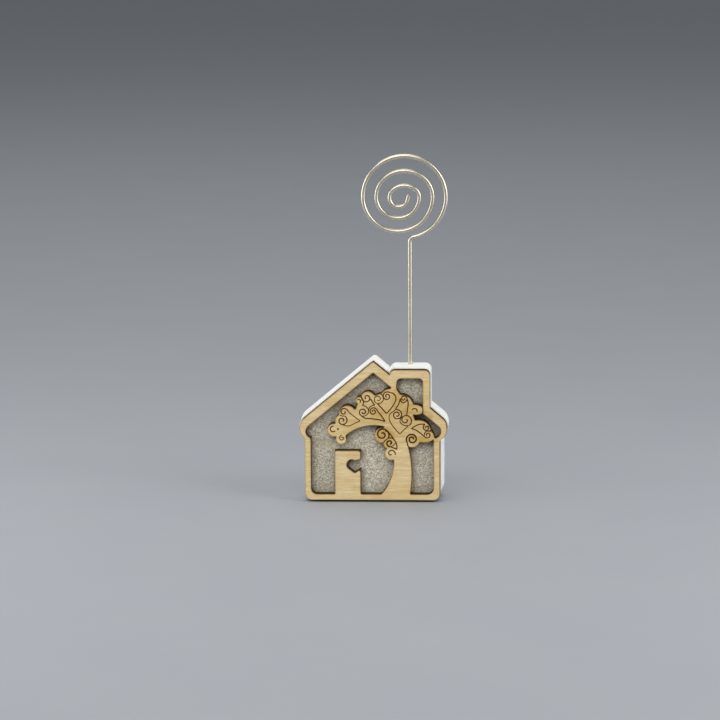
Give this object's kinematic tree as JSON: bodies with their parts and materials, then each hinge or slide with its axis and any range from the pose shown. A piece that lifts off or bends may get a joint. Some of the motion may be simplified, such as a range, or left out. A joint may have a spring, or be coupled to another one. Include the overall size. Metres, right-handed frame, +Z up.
{
  "type": "place card holder",
  "caption": "House-shaped place card holder: a white cast block faced with glitter and plywood fretwork of a door and a scrolled tree, with a spiral wire clip in its chimney.",
  "frame": {"origin": "middle of the base, on the table, half way through the depth from the plywood's front to the block's back", "axes": "+Z up along the wire stem, +X to the right seen from the front, -Y towards the viewer"},
  "size_m": [0.0518, 0.0156, 0.1203],
  "materials": {
    "cast_white": "matt white cast plaster",
    "glue": "dried clear glue film",
    "glitter": "silver-grey glitter on card",
    "plywood": "raw pale plywood, laser cut, with scorched edges",
    "wire": "polished pale gold plating"
  },
  "bodies": {
    "house": {"house_body": "cast_white", "sheet_adhesive": "glue", "glitter_sheet": "glitter", "fretwork_adhesive": "glue", "fretwork_front": "plywood"},
    "clip": {"wire_clip": "wire"}
  },
  "joints": [
    {"name": "clip_swivel", "type": "hinge", "parent": "house", "child": "clip", "pos_m": [0.01247, 0.00365, 0.0388], "axis": [0, 0, 1], "continuous": true}
  ]
}
